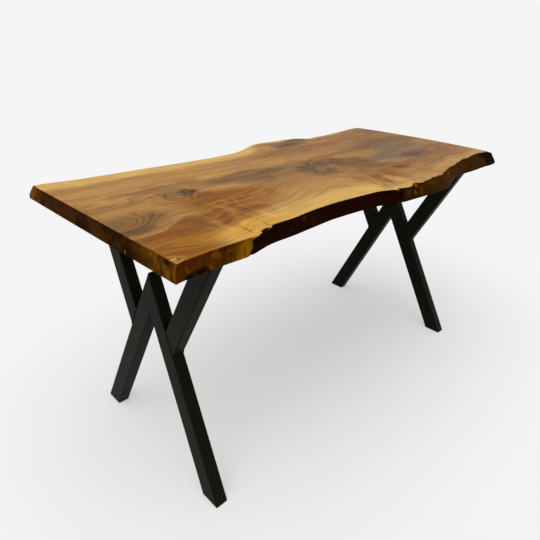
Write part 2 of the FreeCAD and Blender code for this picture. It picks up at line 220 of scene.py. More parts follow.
def apply_modifier(piece, kind, **settings):
    """Adds a modifier with its settings and applies it."""
    work_on(piece)
    modifier = piece.modifiers.new(kind.lower(), kind)
    for name, value in settings.items():
        setattr(modifier, name, value)
    bpy.ops.object.modifier_apply(modifier=modifier.name)


def loose_copy(name, mesh):
    """New object with a copy of a mesh."""
    copy = bpy.data.objects.new(name, mesh.copy())
    bpy.context.scene.collection.objects.link(copy)
    return copy


def node_copy(node, name):
    """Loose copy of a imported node's mesh, with its doubled vertices merged."""
    copy = loose_copy(name, NODES[node].data)
    with edit_mode(copy):
        bpy.ops.mesh.remove_doubles(threshold=0.01 * MM)
    return copy


def joined(pieces):
    """One object out of several."""
    work_on(*pieces)
    bpy.ops.object.join()
    return bpy.context.object


def discard(item):
    """Removes a helper object."""
    bpy.data.objects.remove(item, do_unlink=True)


def finish_piece(piece, slot, *replaced):
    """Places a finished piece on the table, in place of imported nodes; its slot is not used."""
    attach(piece, "root")
    if replaced:
        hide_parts(*replaced)


# Material helpers


def feed(node, inputs):
    """Gives a node its inputs, by name or in order: values, or sockets to link."""
    for key, value in inputs.items() if isinstance(inputs, dict) else enumerate(inputs):
        if isinstance(value, bpy.types.NodeSocket):
            node.id_data.links.new(value, node.inputs[key])
        else:
            node.inputs[key].default_value = value


def add_node(tree, kind, inputs=(), **settings):
    """Adds a node with its settings and inputs, and gives its first output that is in use."""
    node = tree.nodes.new("ShaderNode" + kind)
    for name, value in settings.items():
        setattr(node, name, value)
    feed(node, inputs)
    return next((output for output in node.outputs if output.enabled), None)


def reckon(*parts, how="MULTIPLY"):
    """Joins parts into one value; a part is a number, a socket or a smooth step between two limits."""
    heads = (part[0] if isinstance(part, tuple) else part for part in parts)
    tree = next(head.id_data for head in heads if isinstance(head, bpy.types.NodeSocket))
    total = None
    for part in parts:
        if isinstance(part, tuple):
            part = add_node(tree, "MapRange", part, interpolation_type="SMOOTHSTEP")
        total = part if total is None else add_node(tree, "Math", (total, part), operation=how)
    return total


def painted(tone, layers):
    """Colour under layers, each with its share, its colour and, if it isn't mixed in, its blend."""
    for share, shade, *blend in layers:
        tone = add_node(share.id_data, "Mix", {"Factor": share, "A": tone, "B": shade}, data_type="RGBA",
                        blend_type=blend[0] if blend else "MIX")
    return tone


def new_material(name):
    """Empty node material, its node tree and its shader."""
    material = bpy.data.materials.new(name)
    material.use_nodes = True
    tree = material.node_tree
    tree.nodes.clear()
    surface = add_node(tree, "BsdfPrincipled")
    add_node(tree, "OutputMaterial", {"Surface": surface})
    return material, tree, surface.node


def finish_shader(shader, tone, rough, relief, gloss=0.5, metallic=0.0):
    """Gives a shader its finish; its relief is a height, its strength and its depth."""
    height, strength, depth = relief
    bump = add_node(shader.id_data, "Bump", {"Strength": strength, "Distance": depth, "Height": height})
    feed(shader, {"Base Color": tone, "Roughness": rough, "Specular IOR Level": gloss, "Metallic": metallic,
                  "Normal": bump})


def dress(piece, *materials):
    """Replaces the material slots of a piece."""
    piece.data.materials.clear()
    for material in materials:
        piece.data.materials.append(material)


# The slab's shape

SLAB_LOW, SLAB_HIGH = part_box("tabletop_slab")
TOP = SLAB_HIGH.z
OUTWARD = {"front": -1, "back": 1}
MARGIN = 50 * MM
COLUMN_CUTS = 24
ROW_CUTS = 16
CREASE = math.radians(38)

# How far a face's normal or an edge has to run along an axis, from fully to hardly
FULLY, NEARLY, MOSTLY, PARTLY, OBLIQUE = 0.99, 0.95, 0.9, 0.75, 0.7
HALFWAY, SLIGHTLY, HARDLY = 0.5, 0.3, 0.1

# The carving's share at the upper arris and at a sawn end, how fast it grows away from an arris, how
# much sooner it is full from the lower one, and how far from an end it is full
ARRIS_SHARE = 0.30
END_SHARE = 0.15
GROWTH = 3.5
LOW_LEAD = 0.12
END_FADE = 40 * MM

# The arrises' least distance from the middle line, and how far in the bowed right end reaches
ARRIS_OUT = 265 * MM
END_REACH = 90 * MM

# Strokes on the live edges. A row holds the x, y and z of a place, how far it is pushed along each and how
# wide the stroke reaches, all in mm.
STROKES = [
    # The bark pocket: the shaved wood stands proud on its left, and a lip hangs over its right side
    (-532, -332, 750, 0, -9, 0, 26), (-517, -329, 750, 0, -5, 0, 10),
    (-504, -328, 737, 0, 9, 0, 16), (-532, -342, 730, 0, 7, 0, 17), (-479, -318, 750, 0, -7, 0, 12),
    (-546, -340, 708, 0, 3, 0, 9),
    # Lobes and clefts of the knee
    (-1, -345, 750, 0, -4, 0, 12), (15, -349, 750, 0, 7, 0, 11), (17, -352, 735, 0, 8, 0, 14),
    (56, -351, 750, 0, -7, 0, 34), (88, -352, 750, 0, 5, 0, 11), (101, -352, 750, 0, 10, 0, 14),
    (98, -356, 731, 0, 9, 0, 16), (128, -351, 750, 0, -5, 0, 18), (165, -360, 728, 0, -4, 0, 24),
    (205, -350, 750, 0, 5, 0, 20), (236, -356, 730, 0, 6, 0, 18), (262, -346, 750, 0, -4, 0, 24),
    (340, -333, 728, 0, 5, 0, 22), (417, -310, 750, 0, -5, 0, 50), (520, -297, 750, 0, 4, 0, 50),
    # The knob at the right end: its upper corner worn down, its flank full
    (741, -299, 750, 4, -6, -4, 30), (748, -312, 733, 5, -3, 0, 26), (745, -318, 714, 2, -6, 0, 26),
]
# A cut along the top that keeps the wear of the front arris from tilting the whole top
FRONT_RIB = -262 * MM


def template_slab():
    """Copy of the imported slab, drawn out past its ends, its top and its underside."""
    template = node_copy("tabletop_slab", "slab_template")
    with edit_mode(template):
        for axis, sign, limit in ((0, -1, MOSTLY), (0, 1, MOSTLY), (2, 1, FULLY), (2, -1, FULLY)):
            pick(template, "faces", lambda face: face.normal[axis] * sign > limit)
            step = Vector((0, 0, 0))
            step[axis] = sign * 2 * MARGIN
            bpy.ops.mesh.extrude_region_move(TRANSFORM_OT_translate={"value": step})
    return template


def end_planes():
    """Planes of the sawn ends, each a point and an outward normal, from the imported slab's facets."""
    mesh = NODES["tabletop_slab"].data
    planes = []
    for face in mesh.polygons:
        corners = [mesh.vertices[index].co for index in face.vertices]
        upper = [corner for corner in corners if corner.z > TOP - MM]
        if abs(face.normal.x) > MOSTLY and len(upper) == 2:
            normal = Vector((face.normal.x, face.normal.y, 0)).normalized()
            planes.append(((upper[0] + upper[1]) / 2, normal))
    return planes


def rough_slab():
    """Box in narrow ribs, drawn to the live edges and sawn off at its ends."""
    template = template_slab()
    room = Vector((2 * MARGIN, 2 * MARGIN, 0))
    work_on()
    bpy.ops.mesh.primitive_cube_add(size=1, location=(SLAB_LOW + SLAB_HIGH) / 2,
                                    scale=SLAB_HIGH - SLAB_LOW + room)
    slab = bpy.context.object
    slab.name = "walnut_slab"
    bpy.ops.object.transform_apply(location=True, rotation=False, scale=True)
    with edit_mode(slab):
        for axis, cuts in ((0, COLUMN_CUTS), (0, COLUMN_CUTS), (2, ROW_CUTS)):
            pick(slab, "edges", lambda edge: abs(edge_run(edge)[axis]) > FULLY)
            bpy.ops.mesh.subdivide(number_cuts=cuts)
    apply_modifier(slab, "SHRINKWRAP", target=template, wrap_method="PROJECT", use_project_y=True,
                   use_positive_direction=True, use_negative_direction=True)
    discard(template)
    with edit_mode(slab):
        for place, normal in end_planes():
            bpy.ops.mesh.select_all(action="SELECT")
            bpy.ops.mesh.bisect(plane_co=place, plane_no=normal, use_fill=True, clear_outer=True)
        bpy.ops.mesh.select_all(action="SELECT")
        bpy.ops.mesh.remove_doubles(threshold=0.5 * MM)
        bpy.ops.mesh.normals_make_consistent(inside=False)
    return slab


def edge_run(edge):
    """Unit vector along an edge."""
    return (edge.verts[1].co - edge.verts[0].co).normalized()


def is_arris(edge):
    """Whether an edge lies between a level face and an upright one, or between an end and a side."""
    if len(edge.link_faces) != 2:
        return False
    levels = sorted(abs(face.normal.z) for face in edge.link_faces)
    ends = sorted(abs(face.normal.x) for face in edge.link_faces)
    corner = abs(edge_run(edge).z) > SLIGHTLY and ends[1] > MOSTLY and ends[0] < OBLIQUE
    return corner or (levels[1] > NEARLY and levels[0] < MOSTLY)


def from_end(place):
    """Distance from the nearer end of the slab's box."""
    return min(place.x - SLAB_LOW.x, SLAB_HIGH.x - place.x)


def live_sides(slab):
    """Vertex groups of the two live edges; weights fall towards the arrises and the sawn ends."""
    for name, sign in OUTWARD.items():
        group = slab.vertex_groups.new(name=name)
        for vertex in slab.data.vertices:
            if vertex.co.y * sign <= 0:
                continue
            rise = (vertex.co.z - SLAB_LOW.z) / (TOP - SLAB_LOW.z)
            body = min(1, ARRIS_SHARE + GROWTH * min(1 - rise, rise + LOW_LEAD))
            near_end = min(1, max(END_SHARE, from_end(vertex.co) / END_FADE))
            group.add([vertex.index], body * near_end, "REPLACE")


def carve_live_edges(slab, sizes):
    """Cuts hollows, ridges and ripples into the bark sides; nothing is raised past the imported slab."""
    live_sides(slab)
    layers = (
        ("swell", sizes.swell, 70 * MM, (2.2, 1, 0.9)),
        ("ridge", sizes.ridge, 16 * MM, (2.6, 1, 0.7)),
        ("ripple", sizes.ripple, 6 * MM, (1.2, 1, 1.6)),
    )
    for name, depth, grain, stretch in layers:
        pattern = bpy.data.textures.new(name, "CLOUDS")
        pattern.noise_scale = grain
        pattern.noise_depth = 1
        gauge = bpy.data.objects.new(name + "_gauge", None)
        gauge.scale = stretch
        bpy.context.scene.collection.objects.link(gauge)
        bpy.context.view_layer.update()
        for side, sign in OUTWARD.items():
            apply_modifier(slab, "DISPLACE", texture=pattern, texture_coords="OBJECT",
                           texture_coords_object=gauge, direction="Y", mid_level=1.0,
                           strength=sign * depth, vertex_group=side)
        discard(gauge)
        bpy.data.textures.remove(pattern)


def make_strokes(slab):
    """Pushes and pulls single places of the live edges, as with a grab brush."""
    with edit_mode(slab):
        bpy.ops.mesh.bisect(plane_co=(0, FRONT_RIB, 0), plane_no=(0, 1, 0))
        for *numbers, reach in STROKES:
            place, push = (Vector(part) * MM for part in (numbers[:3], numbers[3:]))
            mesh = bmesh.from_edit_mesh(slab.data)
            index = min(mesh.verts, key=lambda vertex: (vertex.co - place).length_squared).index
            pick(slab, "verts", lambda vertex: vertex.index == index)
            bpy.ops.transform.translate(value=push, use_proportional_edit=True,
                                        proportional_edit_falloff="SMOOTH", proportional_size=reach * MM)


def soften_sides(slab):
    """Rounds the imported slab's ridges between its section levels, away from the arrises."""
    with edit_mode(slab):
        pick(slab, "verts", lambda vertex: SLAB_LOW.z + MM < vertex.co.z < TOP - MM)
        bpy.ops.mesh.vertices_smooth(factor=0.5, repeat=4, xaxis=False, yaxis=True, zaxis=False)


def round_arrises(slab, sizes):
    """Rounds the arrises as sanding leaves them."""
    with edit_mode(slab):
        pick(slab, "edges", is_arris)
        bpy.ops.mesh.bevel(offset=sizes.arris, segments=3, affect="EDGES", clamp_overlap=False)


def arris_line(slab, sign):
    """X and y of the upper arris on one live edge, in order along the slab, as two rows."""
    rows = sorted((vertex.co.x, vertex.co.y) for vertex in slab.data.vertices
                  if vertex.co.z > TOP - 0.1 * MM and vertex.co.y * sign > ARRIS_OUT)
    return np.array(rows).T


def measure_reach(slab, arrises):
    """Stores how far each point lies from the front and from the back arris, for the grain to follow."""
    for side, line in arrises.items():
        reach = slab.data.attributes.new(f"from_{side}", "FLOAT", "POINT")
        values = [OUTWARD[side] * (np.interp(point.co.x, *line) - point.co.y) for point in slab.data.vertices]
        reach.data.foreach_set("value", values)


def drill_insert_holes(slab, sizes):
    """Drills the blind holes that the threaded inserts sit in."""
    for side in SIDES:
        low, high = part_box(f"{side}_threaded_inserts")
        depth = high.z - low.z + sizes.insert_room
        work_on()
        drills = []
        for x, y in fastener_places(side, sizes.washer):
            bpy.ops.mesh.primitive_cylinder_add(vertices=32, radius=sizes.insert_hole / 2, depth=2 * depth,
                                                location=(x, y, low.z))
            drills.append(bpy.context.object)
        drill = joined(drills)
        apply_modifier(slab, "BOOLEAN", operation="DIFFERENCE", object=drill, solver="EXACT")
        discard(drill)


FASTENERS_ALONG = 3


def fastener_places(side, washer):
    """X and y of one frame's fasteners, which stand in two rows, from the box of its washers."""
    low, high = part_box(f"{side}_washers")
    first, last = low.y + washer / 2, high.y - washer / 2
    along = [first + (last - first) * index / (FASTENERS_ALONG - 1) for index in range(FASTENERS_ALONG)]
    return [(x, y) for x in (low.x + washer / 2, high.x - washer / 2) for y in along]


def sort_faces(slab):
    """Gives the top and underside material 0, the live edges 1 and the sawn ends 2."""
    for face in slab.data.polygons:
        end = abs(face.normal.x) > PARTLY and from_end(face.center) < END_REACH
        face.material_index = 0 if abs(face.normal.z) > MOSTLY else 2 if end else 1


# The slab's wood. Walnut has a brown heartwood with smoky streaks, a golden sapwood next to the bark
# and rings that swirl round its knots; the satin varnish deepens all of it.

# Width over which the rings are counted, depth of a patch, and the rings' shift over the thickness
SLAB_WIDTH = 620 * MM
DEEP = 250 * MM
RING_TILT = 0.45

# How far the patches drift along x, y and z, the drift's grain, and the share of it that outlines keep
DRIFT = (80 * MM, 50 * MM, 20 * MM)
DRIFT_GRAIN = 71.43 * MM
CALM = 0.22

# How far the rings sway across the grain, and over what distance
SWAY = 38 * MM
SWAY_GRAIN = 250 * MM

# Figures that bend the rings. A row of this and of the next tables holds the middle of an ellipse on the
# face and its two radii in mm, then a strength; here it is how far the rings are lifted, in mm.
FIGURES = [
    (-95, -115, 310, 140, -80), (-120, -215, 300, 120, -32), (-707, 14, 175, 62, 66),
    (-512, -8, 62, 64, 60), (-735, -110, 135, 92, 120), (-15, -50, 90, 78, 78),
    (95, -5, 95, 60, -52), (455, -125, 130, 62, 60), (232, -202, 60, 34, 52),
    (165, 262, 120, 48, 44), (720, 247, 60, 70, 66), (-640, -300, 120, 60, 30),
    (560, 70, 210, 100, -34), (620, -160, 120, 60, 30),
]

# How clearly the rings show: most of all round the knots
LINES = [
    (-707, 14, 170, 60, 0.3), (-507, -4, 72, 70, 0.35), (-700, -105, 115, 88, 0.62),
    (-190, -130, 220, 130, 0.10), (20, -30, 150, 90, 0.6), (455, -125, 130, 60, 0.3),
    (232, -202, 50, 32, 0.5), (165, 262, 110, 44, 0.3), (-540, 82, 150, 44, 0.35),
]

# Patches of the heartwood, in the order in which they are laid. Beside the eye knot, a red, a smoky and two
# inky patches are partly the wood's own colour and partly a painted shadow of a tray.
LIGHT_SPOTS = [
    (-610, 150, 240, 78, 0.9), (-682, -26, 90, 27, 1.0), (-200, -180, 240, 100, 0.75),
    (40, 86, 330, 30, 0.35), (40, 288, 90, 36, 0.9), (670, -10, 85, 36, 0.6),
    (-330, 120, 160, 40, 0.5),
]
BROWN_SPOTS = [
    (-707, 16, 150, 40, 0.5), (-640, 208, 170, 22, 0.35), (110, 185, 300, 60, 0.85),
    (600, 200, 260, 120, 0.8), (600, -150, 230, 90, 1.0), (-190, -125, 200, 60, 0.2),
    (380, -200, 160, 60, 0.7), (450, 60, 250, 130, 0.6), (330, 185, 110, 45, 0.7),
    (560, -245, 210, 48, 0.8), (-420, 80, 70, 55, 0.8), (-555, -40, 60, 60, 0.5),
    (165, -95, 150, 80, 0.6), (150, -155, 120, 50, 0.7), (35, -300, 110, 34, 0.5),
]
RED_AND_TRAY_SHADOW_SPOTS = [
    (-690, -262, 120, 82, 1.0), (-690, -320, 120, 52, 0.8), (-335, -110, 85, 90, 0.7),
    # The last patch on the next row is partly red heartwood and partly a painted tray shadow.
    (-455, -30, 60, 34, 0.6), (-480, -195, 165, 80, 0.85), (-440, -90, 165, 90, 0.9),
    (238, -190, 110, 78, 0.55), (80, -230, 140, 62, 0.75), (60, -298, 120, 40, 0.3),
    (-610, -265, 90, 56, 0.6), (-510, -250, 90, 30, 0.8), (170, -60, 110, 60, 0.45),
]
SMOKE_AND_TRAY_SHADOW_SPOTS = [
    (-555, 78, 135, 34, 0.55), (-507, 6, 64, 60, 0.35), (-510, 28, 60, 36, 0.3),
    (-700, -106, 112, 86, 0.58), (-712, -158, 62, 26, 0.55), (-650, -120, 62, 56, 0.12),
    # The middle patch on the next row is partly smoky figure and partly a painted tray shadow.
    (-735, -232, 50, 52, 0.4), (-470, 2, 44, 34, 0.8), (-250, 36, 190, 58, 0.75),
    (-120, -5, 120, 60, 0.6), (-240, -24, 80, 36, 0.6), (-25, -52, 80, 80, 0.7),
    (-30, 50, 80, 26, 0.45), (75, 2, 110, 58, 0.75), (165, -72, 120, 95, 0.78),
    (230, -170, 76, 46, 0.7), (28, -104, 60, 34, 0.5), (455, -122, 140, 60, 0.7),
    (238, -206, 52, 30, 0.9), (178, 258, 110, 34, 1.0), (262, 304, 86, 42, 1.0),
    (560, 60, 240, 110, 0.75), (330, 20, 150, 80, 0.12), (712, 262, 80, 84, 0.6),
    (655, -92, 90, 50, 0.5),
]
GREY_SPOTS = [
    (515, -38, 200, 98, 0.65), (360, -90, 140, 66, 0.95), (465, -112, 100, 50, 0.5),
    (190, 276, 120, 46, 0.7),
]
INK_AND_TRAY_SHADOW_SPOTS = [
    # The first two patches on the next row are partly the eye knot's dark figure and partly a painted tray
    # shadow.
    (-461, 4, 28, 16, 0.8), (-482, 24, 30, 10, 0.6), (-716, -165, 50, 18, 0.35),
    (-40, -62, 26, 70, 0.5), (42, 0, 60, 24, 0.45), (442, -122, 74, 38, 0.95),
    (240, -206, 24, 14, 0.8), (182, 258, 74, 18, 0.75),
]

# Where the heartwood comes through the sapwood
HEART_SPOTS = [
    (178, 258, 110, 34, 1.0), (270, 318, 70, 30, 1.0), (30, -304, 85, 34, 0.5),
]

# Nested outlines round the eye knots, with their number before the strength
EYES = [
    (-516, -12, 46, 52, 2.4, 0.9), (-712, 14, 160, 46, 3.2, 0.3), (46, -2, 84, 46, 3.5, 0.4),
]

# Dark streaks across the grain: those of the knee lean, so their x is taken on the line y = 0
STREAK_LEAN = 0.52
STREAKS = [
    (165, -290, 7, 62, 0.6), (206, -282, 6, 44, 0.7), (136, -262, 6, 30, 0.5),
    (448, -318, 6, 22, 0.6),
]
CRACKS = [
    (-531, -296, 5, 36, 0.8), (-476, -302, 5, 22, 0.7),
]

# Cross figure that ripples over the grain
CURLS = [
    (-450, -190, 190, 150, 1.0), (80, -245, 150, 105, 1.0), (-620, -230, 110, 60, 0.5),
    (-10, -60, 90, 80, 0.7), (600, -160, 200, 80, 0.5),
]

# Single places: the crotch figure and its front outline from one x and y to the other, the deep gold,
# the chipped left front corner and the worn knob at the right end
CROTCH = (-645, -180, 145, 72)
CROTCH_CURVE = (-690 * MM, -560 * MM, -185 * MM, -130 * MM)
GOLD_CORNER = (-500, -292, 165, 62)
CHIPS = (-738, -322, 34, 24)
WORN_KNOB = (740, -299, 40, 18)


def distance_share(place, ellipse):
    """Distance from the middle of an ellipse on the face, or of an ellipsoid; it is 1 at the rim."""
    half = len(ellipse) // 2
    middle = (*(part * MM for part in ellipse[:half]), TOP)[:3]
    radii = (*(part * MM for part in ellipse[half:]), DEEP)[:3]
    tree = place.id_data
    away = add_node(tree, "VectorMath", (place, middle), operation="SUBTRACT")
    scaled = add_node(tree, "VectorMath", (away, radii), operation="DIVIDE")
    return add_node(tree, "VectorMath", (scaled,), operation="LENGTH")


def spot(place, ellipse, softness=1.0):
    """Share that falls from 1 in an ellipse to 0 at its rim."""
    return reckon((distance_share(place, ellipse), 1.0, 1.0 - softness))


def added_spots(total, place, table, softness=1.0, unit=1.0):
    """Total to which every spot of a table adds its strength."""
    for *ellipse, strength in table:
        parts = (spot(place, ellipse, softness), strength * unit, total)
        total = add_node(place.id_data, "Math", parts, operation="MULTIPLY_ADD")
    return total


def spots(place, table, softness):
    """Share of all the spots in a table, kept between 0 and 1."""
    return add_node(place.id_data, "Clamp", {"Value": added_spots(0.0, place, table, softness)})


def eye_lines(place, ellipse, count):
    """Fine outlines that lie one inside the other round a knot, the outermost the clearest."""
    distance = distance_share(place, ellipse)
    part = add_node(place.id_data, "Math", (reckon(distance, count),), operation="FRACT")
    return reckon((part, 0.45, 0.85), (part, 1.0, 0.88), (distance, 1.05, 0.99), distance)


def without(value, taken):
    """Value where a share is 0, falling to 0 where it is 1."""
    return reckon(value, reckon(1.0, taken, how="SUBTRACT"))


def long_noise(place, size, detail):
    """Noise whose grains have the given sizes along x, y and z in mm."""
    scale = tuple(1 / (part * MM) for part in size)
    moved = add_node(place.id_data, "Mapping", {"Vector": place, "Scale": scale})
    settings = {"Vector": moved, "Scale": 1.0, "Detail": detail, "Roughness": 0.55}
    return add_node(place.id_data, "TexNoise", settings)


class WoodField:
    """Places of a wood material: the point, its distances from the arrises and where the rings put it."""

    def __init__(self, tree):
        self.tree = tree
        self.point = add_node(tree, "TexCoord").node.outputs["Object"]
        self.x, self.y, self.z = add_node(tree, "SeparateXYZ", (self.point,)).node.outputs
        noise = add_node(tree, "TexNoise", {"Vector": self.point, "Scale": 1 / DRIFT_GRAIN, "Detail": 3.0})
        drifts = add_node(tree, "SeparateColor", (noise.node.outputs["Color"],)).node.outputs
        aside = [add_node(tree, "Math", (part, reach, -reach / 2), operation="MULTIPLY_ADD")
                 for part, reach in zip(drifts, DRIFT)]
        shift = add_node(tree, "CombineXYZ", aside)
        self.place = add_node(tree, "VectorMath", (self.point, shift))
        self.calm = add_node(tree, "VectorMath", (shift, 3 * (CALM,), self.point), operation="MULTIPLY_ADD")
        self.front, self.back = (
            add_node(tree, "Attribute", attribute_name=f"from_{side}").node.outputs["Fac"] for side in OUTWARD
        )

    @cached_property
    def rings(self):
        """Distance across the growth rings, bent round the figures."""
        tree = self.tree
        whole = reckon(self.front, self.back, how="ADD")
        across = reckon(self.front, whole, how="DIVIDE")
        level = reckon(self.z, RING_TILT)
        total = add_node(tree, "Math", (across, SLAB_WIDTH, level), operation="MULTIPLY_ADD")
        total = added_spots(total, self.calm, FIGURES, unit=MM)
        sway = add_node(tree, "TexNoise", {"Vector": self.point, "Scale": 1 / SWAY_GRAIN, "Detail": 1.0})
        return add_node(tree, "Math", (sway, SWAY, total), operation="MULTIPLY_ADD")

    def along_grain(self, run, width, detail=2.0, roughness=0.5):
        """Noise drawn out along the grain: run is its length along x and width across the rings."""
        parts = [reckon(part, size, how="DIVIDE")
                 for part, size in ((self.x, run), (self.rings, width), (self.z, run))]
        return add_node(self.tree, "TexNoise", {
            "Vector": add_node(self.tree, "CombineXYZ", parts), "Scale": 1.0, "Detail": detail,
            "Roughness": roughness,
        })

    def stretched(self, *size, detail=3.0):
        """Noise at the drifted point whose grains have the given sizes along x, y and z in mm."""
        return long_noise(self.place, size, detail)


def ring_lines(field, width, waver):
    """Saw-shaped growth rings: each darkens slowly and ends at once; waver breaks their spacing."""
    tree = field.tree
    uneven = field.along_grain(500 * MM, 75 * MM)
    count = reckon(field.rings, width, how="DIVIDE")
    shifted = add_node(tree, "Math", (uneven, waver, count), operation="MULTIPLY_ADD")
    part = add_node(tree, "Math", (shifted,), operation="FRACT")
    return reckon((part, 0.15, 0.88), (part, 1.0, 0.88))


def heartwood_layers(field, colours):
    """Heartwood: brown that varies in bands, with light, red, smoky and inky patches; beside the eye knot a
    few of these are also a painted tray shadow.
    """
    right = reckon((field.x, -150 * MM, 250 * MM, 0.38, 0.62))
    bands = reckon((field.along_grain(800 * MM, 30 * MM, 3.0), 0.30, 0.70, -0.3, 0.3))
    yield add_node(field.tree, "Math", (right, bands), use_clamp=True), colours.heart_brown
    strands = reckon((field.along_grain(220 * MM, 12 * MM, 3.0, 0.6), 0.30, 0.62))
    wisps = reckon((strands, 0.0, 1.0, 0.60, 1.0))
    # The red patches include a painted tray shadow beside the eye knot.
    warm = spots(field.place, RED_AND_TRAY_SHADOW_SPOTS, 0.7)
    yield reckon(spots(field.place, LIGHT_SPOTS, 0.8), wisps), colours.heart_light
    yield reckon(spots(field.place, BROWN_SPOTS, 0.7), wisps), colours.heart_brown
    yield reckon(warm, 0.92), colours.honey
    yield reckon(warm, (strands, 0.0, 1.0, 0.15, 0.9)), colours.heart_red
    yield reckon(spots(field.place, SMOKE_AND_TRAY_SHADOW_SPOTS, 0.45), wisps), colours.smoke
    yield reckon(spots(field.place, GREY_SPOTS, 0.6), wisps), colours.grey
    yield reckon(spots(field.place, INK_AND_TRAY_SHADOW_SPOTS, 0.7), wisps), colours.ink


def sapwood_share(field):
    """Where the sapwood shows: along both edges, but hardly on the right half of the back."""
    wander = reckon((field.along_grain(200 * MM, 50 * MM), 0.2, 0.8, -16 * MM, 16 * MM))
    front_width = reckon((field.x, 0.0, 350 * MM, 98 * MM, 62 * MM))
    back_width = reckon((field.x, -70 * MM, 100 * MM, 88 * MM, 26 * MM))
    sides = []
    for reach, width in ((field.front, front_width), (field.back, back_width)):
        part = reckon(reckon(reach, wander, how="ADD"), width, how="DIVIDE")
        sides.append(reckon((part, 1.1, 0.35)))
    front = reckon(sides[0], (field.x, -630 * MM, -560 * MM, 0.04, 1.0))
    edge = reckon(front, sides[1], how="MAXIMUM")
    edge = without(edge, spots(field.place, HEART_SPOTS, 0.6))
    return reckon(edge, (field.x, -20 * MM, 160 * MM, 1.0, 0.44))


def crotch_layers(field, colours):
    """Cut the crotch figure off along a curve: warm wood in front of it, with a golden line between."""
    x, y, _ = add_node(field.tree, "SeparateXYZ", (field.calm,)).node.outputs
    gap = reckon(y, reckon((x, *CROTCH_CURVE)), how="SUBTRACT")
    front = reckon(spot(field.calm, CROTCH, 0.5), (gap, 2 * MM, -4 * MM))
    yield reckon(front, 0.75), colours.heart_red
    yield reckon(front, (gap, -13 * MM, -5 * MM, 0.0, 0.7)), colours.flame


def face_layers(field, sizes, colours):
    """Layers of the long-grain faces over the light heartwood."""
    shade = colours.ring_shade
    sapwood = sapwood_share(field)
    yield from heartwood_layers(field, colours)
    yield sapwood, colours.sapwood
    yield reckon(spot(field.place, GOLD_CORNER, 0.7), 0.75), colours.sap_gold
    yield from crotch_layers(field, colours)
    clear = without(spots(field.place, LINES, 0.8), reckon(sapwood, 0.7))
    for lines, faint, strong in (
        (ring_lines(field, sizes.ring, 1.5), 0.14, 0.38),
        (ring_lines(field, sizes.ring * 0.36, 2.4), 0.12, 0.72),
        (reckon((field.along_grain(90 * MM, sizes.fibre), 0.36, 0.66)), 0.28, 0.36),
    ):
        yield reckon(lines, (clear, 0.0, 1.0, faint, strong)), shade, "MULTIPLY"
    wave = field.stretched(22, 100, 100, detail=1.0)
    broken = reckon((wave, 0.38, 0.58, 0.65, 1.0))
    for *ellipse, count, strength in EYES:
        yield reckon(eye_lines(field.calm, ellipse, count), broken, strength), shade, "MULTIPLY"
    lean = add_node(field.tree, "CombineXYZ", (reckon(field.y, -STREAK_LEAN),))
    leaning = add_node(field.tree, "VectorMath", (field.calm, lean))
    streaks = spots(leaning, STREAKS, 0.9)
    cracks = spots(field.calm, CRACKS, 0.8)
    yield reckon(streaks, cracks, how="MAXIMUM"), shade, "MULTIPLY"
    curl = spots(field.place, CURLS, 0.8)
    yield reckon(curl, (wave, 0.44, 0.70, 0.0, 0.45)), shade, "MULTIPLY"
    yield reckon(curl, (wave, 0.46, 0.28, 0.0, 0.22)), colours.curl_light, "SCREEN"
    chips = field.stretched(16, 8, 8, detail=2.0)
    yield reckon(spot(field.calm, CHIPS, 0.8), (chips, 0.44, 0.60, 0.0, 0.8)), colours.sapwood
    yield spot(field.calm, WORN_KNOB, 0.4), colours.bark_shade


def face_material(sizes, colours):
    """Walnut face, planed, sanded and sprayed with satin varnish: warm, with a soft gloss."""
    material, tree, shader = new_material("satin_varnished_walnut")
    field = WoodField(tree)
    tone = painted(colours.heart_light, face_layers(field, sizes, colours))
    pores = long_noise(field.point, (18, 1.6, 1.6), 1.0)
    rough = reckon((pores, 0.3, 0.7, 0.36, 0.50))
    finish_shader(shader, tone, rough, (pores, 0.25, 0.15 * MM), gloss=0.03)
    return material


# Spots on the live edge, with their middles and radii along x, y and z in mm. Gold ones first: the lips,
# the clefts and a scar.
GOLD_SPOTS = [
    (-481, -326, 748, 9, 20, 9, 1.0), (-527, -338, 749, 6, 20, 5, 0.8),
    (10, -350, 747, 8, 30, 7, 0.9), (100, -348, 744, 6, 30, 9, 0.8), (97, -352, 724, 4, 30, 8, 0.9),
    (87, -352, 730, 3, 30, 5, 0.8), (346, -330, 736, 4, 30, 8, 0.7),
]
# Painted light on the lit, bulging sides of the knee's lobes
PAINTED_LOBE_LIGHT = [
    (50, -356, 732, 24, 40, 22, 0.6), (122, -356, 730, 13, 40, 22, 0.6),
]
# Painted shade in the clefts between the knee's lobes
PAINTED_CLEFT_SHADE = [
    (22, -352, 732, 6, 40, 26, 0.9), (84, -352, 736, 7, 40, 24, 0.8),
    (148, -356, 728, 5, 40, 26, 0.6),
]
HOLLOW_SPOTS = [
    (-690, -336, 700, 42, 40, 22, 1.0), (-668, -336, 704, 17, 40, 20, 1.0),
]

# The notch beside the shaved wood: the heights between which its edge draws back and how far, then where
# that edge runs
NOTCH_DRAW = (728 * MM, 706 * MM, 0.0, 15 * MM)
NOTCH_EDGE = (-534.5 * MM, -541.5 * MM)
# Gloss of the live edges and ends, whose open grain scatters the light
DULL_GLOSS = 0.004


